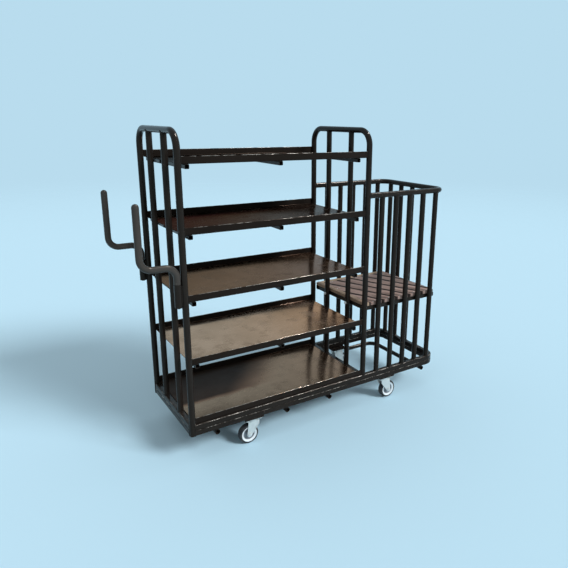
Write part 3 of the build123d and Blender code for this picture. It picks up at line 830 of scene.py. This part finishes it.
# Swivel races, with a groove between their halves, and the king pins that hold the forks up
KING_PIN = 0.006
KING_HEAD = 0.011
KING_HEAD_HEIGHT = 0.008
KING_ROUND = 0.003
KING_SIDES = 40
RACE_ROUND = 0.002
RACE_GROOVE = 0.0012
RACE_SIDES = 64
race_low, race_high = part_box("caster_races")
race_height = race_high.z - race_low.z
races_apart = spot("front_right", "_swivel_turn").x - spot("front_left", "_swivel_turn").x
race_radius = (race_high.x - race_low.x - races_apart) / 2
race_profile = [
    (KING_PIN, 0.0),
    *arc((race_radius - RACE_ROUND, RACE_ROUND), RACE_ROUND, -90, 0, 4),
    (race_radius, 0.4 * race_height),
    (race_radius - RACE_GROOVE, 0.45 * race_height),
    (race_radius - RACE_GROOVE, 0.55 * race_height),
    (race_radius, 0.6 * race_height),
    (race_radius, race_height),
    (KING_PIN, race_height),
]
king_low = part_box("caster_king_pins")[0]
king_profile = [
    (0.3 * KING_HEAD, 0.0),
    *arc((KING_HEAD - KING_ROUND, KING_ROUND), KING_ROUND, -90, 0, 4),
    (KING_HEAD, KING_HEAD_HEIGHT),
    (KING_PIN, KING_HEAD_HEIGHT),
    (KING_PIN, race_low.z - king_low.z),
]
race_shape = bmesh.new()
king_shape = bmesh.new()
for caster in CASTERS:
    king = spot(caster, "_swivel_turn")
    turned(race_shape, (king.x, king.y, race_low.z), (0, 0, 1), race_profile, RACE_SIDES, closed=True)
    turned(king_shape, (king.x, king.y, king_low.z), (0, 0, 1), king_profile, KING_SIDES)
piece("caster_bearings", turned_mesh("caster_bearings", race_shape), "frame", "zinc", zinc, "caster_races")
piece("caster_pivots", turned_mesh("caster_pivots", king_shape), "frame", "zinc", zinc, "caster_king_pins")

# Axle bolts: head at the front, lock nut and stud end at the back, washers under both
AXLE = 0.005
AXLE_SIDES = 24
AXLE_FLATS = 0.017
AXLE_WASHER = 0.0016
AXLE_WASHER_RADIUS = 0.0105
LOCK_NUT_SHARE = 0.65
COLLAR = 1.35 * AXLE
COLLAR_PROUD = 0.001
CHAMFER = 0.001


def axle_bolt(caster, wheel):
    axle_low, axle_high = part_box(caster + "_axle")
    fork_low, fork_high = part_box(caster + "_fork")
    head_face = (wheel.x, fork_low.y, wheel.z)
    nut_face = (wheel.x, fork_high.y, wheel.z)
    head_height = fork_low.y - axle_low.y - AXLE_WASHER
    nut_height = LOCK_NUT_SHARE * (axle_high.y - fork_high.y)
    nut_end = AXLE_WASHER + nut_height
    collar = [(COLLAR, nut_end - COLLAR_PROUD), (COLLAR, nut_end + COLLAR_PROUD)]
    length = axle_high.y - fork_low.y
    stud = [(AXLE, 0.0), (AXLE, length - CHAMFER), (0.8 * AXLE, length)]
    shape = bmesh.new()
    turned(shape, head_face, (0, -1, 0), washer(AXLE_WASHER_RADIUS, AXLE_WASHER), HEAD_SIDES)
    turned(shape, head_face, (0, -1, 0), hexagon(AXLE_FLATS, head_height, AXLE_WASHER), HEAD_SIDES)
    turned(shape, nut_face, (0, 1, 0), washer(AXLE_WASHER_RADIUS, AXLE_WASHER), HEAD_SIDES)
    turned(shape, nut_face, (0, 1, 0), hexagon(AXLE_FLATS, nut_height, AXLE_WASHER), HEAD_SIDES)
    turned(shape, nut_face, (0, 1, 0), collar, AXLE_SIDES)
    turned(shape, head_face, (0, 1, 0), stud, AXLE_SIDES)
    return turned_mesh(caster + "_axle_bolt", shape)


# Wheels: the sizes of a hub and tyre, which are the same on all four casters
WHEEL_SIDES = 72
HUB_BOSS = 0.012
HUB_WEB = 0.004
HUB_FILLET = 0.004
RIM_WIDE = 0.0095
RIM_DEEP = 0.0045
RIM_FLAT = 0.002
RIM_STEP = 0.003
hub_low, hub_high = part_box("front_left_hub")
tyre_low, tyre_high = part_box("front_left_tyre")
hub_radius = (hub_high.z - hub_low.z) / 2
half_boss = (hub_high.y - hub_low.y) / 2
half_tread = (tyre_high.y - tyre_low.y) / 2
tyre_radius = (tyre_high.z - tyre_low.z) / 2
dish = hub_radius - RIM_WIDE
rim_floor = half_tread - RIM_DEEP


def wheel_ring(name, wheel, half):
    """A ring turned about a wheel's axle from the profile of one half, from its face to the middle."""
    shape = bmesh.new()
    profile = half + [(radius, -height) for radius, height in reversed(half)]
    turned(shape, wheel, (0, 1, 0), profile, WHEEL_SIDES, closed=True)
    return turned_mesh(name, shape)


# Hub: a dish on each side of a thin web, with a long boss
hub_half = [
    (hub_radius, 0.5 * half_tread),
    (hub_radius, half_tread),
    (hub_radius - RIM_FLAT, half_tread),
    (dish, rim_floor),
    (dish - RIM_FLAT, rim_floor - RIM_STEP),
    *arc((dish - RIM_FLAT - HUB_FILLET, HUB_WEB + HUB_FILLET), HUB_FILLET, 0, -90, 4),
    *arc((HUB_BOSS + HUB_FILLET, HUB_WEB + HUB_FILLET), HUB_FILLET, -90, -180, 4),
    (HUB_BOSS, half_boss - CHAMFER),
    (HUB_BOSS - CHAMFER, half_boss),
    (1.02 * AXLE, half_boss),
]

# Tyre: rounded shoulders, a groove in each wall and a moulding line round the middle of the tread
TYRE_ROUND = 0.006
TYRE_GROOVE = 0.0007
TYRE_GROOVE_PLACES = (0.0018, 0.0022, 0.0028, 0.0032)
MOULDING_LINE = (0.0012, 0.0004)
groove_start, groove_in, groove_out, groove_end = [hub_radius + place for place in TYRE_GROOVE_PLACES]
shoulder = arc((tyre_radius - TYRE_ROUND, half_tread - TYRE_ROUND), TYRE_ROUND, 90, 0, 7)
tyre_half = [
    (hub_radius, 0.5 * half_tread),
    (hub_radius, half_tread),
    (groove_start, half_tread),
    (groove_in, half_tread - TYRE_GROOVE),
    (groove_out, half_tread - TYRE_GROOVE),
    (groove_end, half_tread),
    *shoulder,
    (tyre_radius, MOULDING_LINE[0]),
    (tyre_radius - TYRE_GROOVE, MOULDING_LINE[1]),
]

# Rim rings: bright dished rings pressed over both faces of the hub's rim
RIM_PROUD = 0.0009
RIM_ROUND = 0.0015
RIM_LAP = 0.001
rim_profile = [
    (hub_radius, half_tread - RIM_LAP),
    *arc((hub_radius - RIM_ROUND, half_tread + RIM_PROUD - RIM_ROUND), RIM_ROUND, 0, 90, 4),
    (hub_radius - RIM_ROUND - RIM_FLAT, half_tread + 0.3 * RIM_PROUD),
    (dish, rim_floor + RIM_PROUD),
    (dish - 1.2 * RIM_LAP, rim_floor - 0.5 * RIM_LAP),
    (dish, rim_floor - RIM_LAP),
]


def rim_rings(name, wheel):
    shape = bmesh.new()
    for facing in (-1.0, 1.0):
        turned(shape, wheel, (0, facing, 0), rim_profile, WHEEL_SIDES, closed=True)
    return turned_mesh(name, shape)


for caster in CASTERS:
    wheel = spot(caster, "_wheel_roll")
    swivel_body = caster + "_swivel"
    wheel_body = caster + "_wheel"
    fork = caster + "_fork"
    bolt = caster + "_axle_bolt"
    hub = caster + "_hub_dish"
    rims = caster + "_rim_ring"
    tread = caster + "_tread"
    piece(fork + "_pressed", softened(fork, PLATE_ROUND), swivel_body, "zinc", zinc, fork)
    piece(bolt, axle_bolt(caster, wheel), swivel_body, "zinc", zinc, caster + "_axle")
    piece(hub, wheel_ring(hub, wheel, hub_half), wheel_body, "wheel_hub", hub_plastic, caster + "_hub")
    piece(rims, rim_rings(rims, wheel), wheel_body, "zinc", rim_bright)
    piece(tread, wheel_ring(tread, wheel, tyre_half), wheel_body, "tyre", rubber, caster + "_tyre")

# Studio
# A pale blue floor that fades into a backdrop of the same colour, a soft key light from the front and a
# little from the right, and an even fill. A small lamp high on the right puts bright lines on the gloss.
BACKDROP = (0.485, 0.716, 0.855, 1.0)
FLOOR_COLOUR = (0.51, 0.752, 0.895, 1.0)
FILL = (0.56, 0.56, 0.56, 1.0)
# Each lamp's strength, and its width, height above the horizon and turn in degrees
LAMPS = {"key": (2.6, 18.0, 36.0, 30.0), "glint": (4.5, 12.0, 58.0, 80.0)}
FLOOR_RADIUS = 40.0
FLOOR_FADE = (5.0, 14.0)

world = bpy.data.worlds.new("studio")
bpy.context.scene.world = world
world.use_nodes = True
sky = Value(world.node_tree)
background = world.node_tree.nodes["Background"]
seen_kinds = ("Is Camera Ray", "Is Glossy Ray", "Is Transmission Ray")
straight, mirrored, passed = [sky.node("ShaderNodeLightPath", {}, {}, kind) for kind in seen_kinds]
seen = sky.math("MINIMUM", straight + mirrored + passed, 1.0)
sky.feed(background.inputs["Color"], mix(seen, FILL, BACKDROP))

floor_shape = bmesh.new()
bmesh.ops.create_circle(floor_shape, cap_ends=True, radius=FLOOR_RADIUS, segments=96)
floor_mesh = bpy.data.meshes.new("floor")
floor_shape.to_mesh(floor_mesh)
floor_shape.free()
floor = bpy.data.objects.new("floor", floor_mesh)
bpy.context.scene.collection.objects.link(floor)
paper = {"Base Color": FLOOR_COLOUR, "Roughness": 0.9, "Specular IOR Level": 0.0}
floor_finish, floor_shader, floor_place = finish("floor_paper", paper)
distance = floor_place.node("ShaderNodeVectorMath", {"operation": "LENGTH"}, {0: floor_place}, "Value")
floor_place.feed(floor_shader.inputs["Alpha"], 1.0 - ramp(distance, *FLOOR_FADE))
floor_mesh.materials.append(floor_finish)

for lamp_name, (strength, width, height, turn) in LAMPS.items():
    lamp = bpy.data.objects.new(lamp_name, bpy.data.lights.new(lamp_name, "SUN"))
    lamp.data.energy = strength
    lamp.data.angle = math.radians(width)
    lamp.rotation_euler = (math.radians(90.0 - height), 0.0, math.radians(turn))
    lamp.visible_diffuse = lamp_name == "key"
    lamp.visible_glossy = lamp_name == "glint"
    bpy.context.scene.collection.objects.link(lamp)

# Camera
# It stands where the photograph's did. Its place, angles, focal length and centre were fitted to the
# straight edges of the hoops, trays and rails.
PHOTO_SIDE = 568
FOCAL_PIXELS = 556.55
CENTRE_PIXEL = (328.69, 271.57)
CAMERA_PLACE = (LEFT_X - 0.7896, -2.5273, 1.5889)
CAMERA_YAW = math.radians(-34.347)
CAMERA_PITCH = math.radians(-15.349)
CAMERA_ROLL = math.radians(0.779)

camera = bpy.data.objects.new("camera", bpy.data.cameras.new("camera"))
camera.data.sensor_width = 36.0
camera.data.lens = FOCAL_PIXELS / PHOTO_SIDE * camera.data.sensor_width
camera.data.shift_x = (PHOTO_SIDE / 2 - CENTRE_PIXEL[0]) / PHOTO_SIDE
camera.data.shift_y = (CENTRE_PIXEL[1] - PHOTO_SIDE / 2) / PHOTO_SIDE
look = Matrix.Rotation(CAMERA_YAW, 4, "Z") @ Matrix.Rotation(math.pi / 2 + CAMERA_PITCH, 4, "X")
camera.matrix_world = Matrix.Translation(CAMERA_PLACE) @ look @ Matrix.Rotation(CAMERA_ROLL, 4, "Z")
bpy.context.scene.collection.objects.link(camera)
bpy.context.scene.camera = camera
bpy.context.scene.view_settings.view_transform = "Standard"
